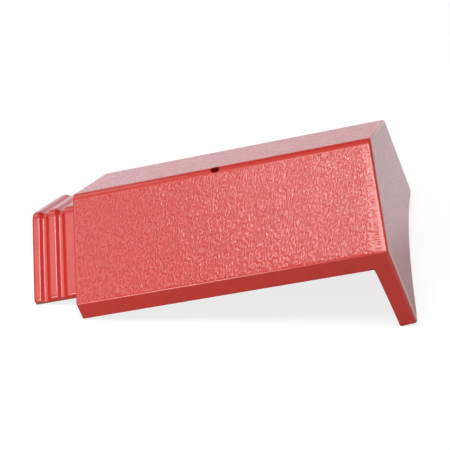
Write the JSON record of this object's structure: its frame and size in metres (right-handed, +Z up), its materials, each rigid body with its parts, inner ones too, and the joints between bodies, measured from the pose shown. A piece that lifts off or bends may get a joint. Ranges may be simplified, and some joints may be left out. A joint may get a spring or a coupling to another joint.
{
  "type": "ridge end tile",
  "caption": "Angled ridge tile closed by a hanging arched end plate, with a ribbed lap joint at its other end and a screw hole through the ridge.",
  "frame": {"origin": "middle of the footprint, on the floor that the tile lies on", "axes": "+X along the ridge towards the end plate, +Y across the ridge, +Z up from the floor"},
  "size_m": [0.4824, 0.2546, 0.1834],
  "materials": {
    "painted_concrete": "glossy red paint on cast concrete"
  },
  "bodies": {
    "root": {"ridge_end_tile": "painted_concrete"}
  },
  "joints": []
}
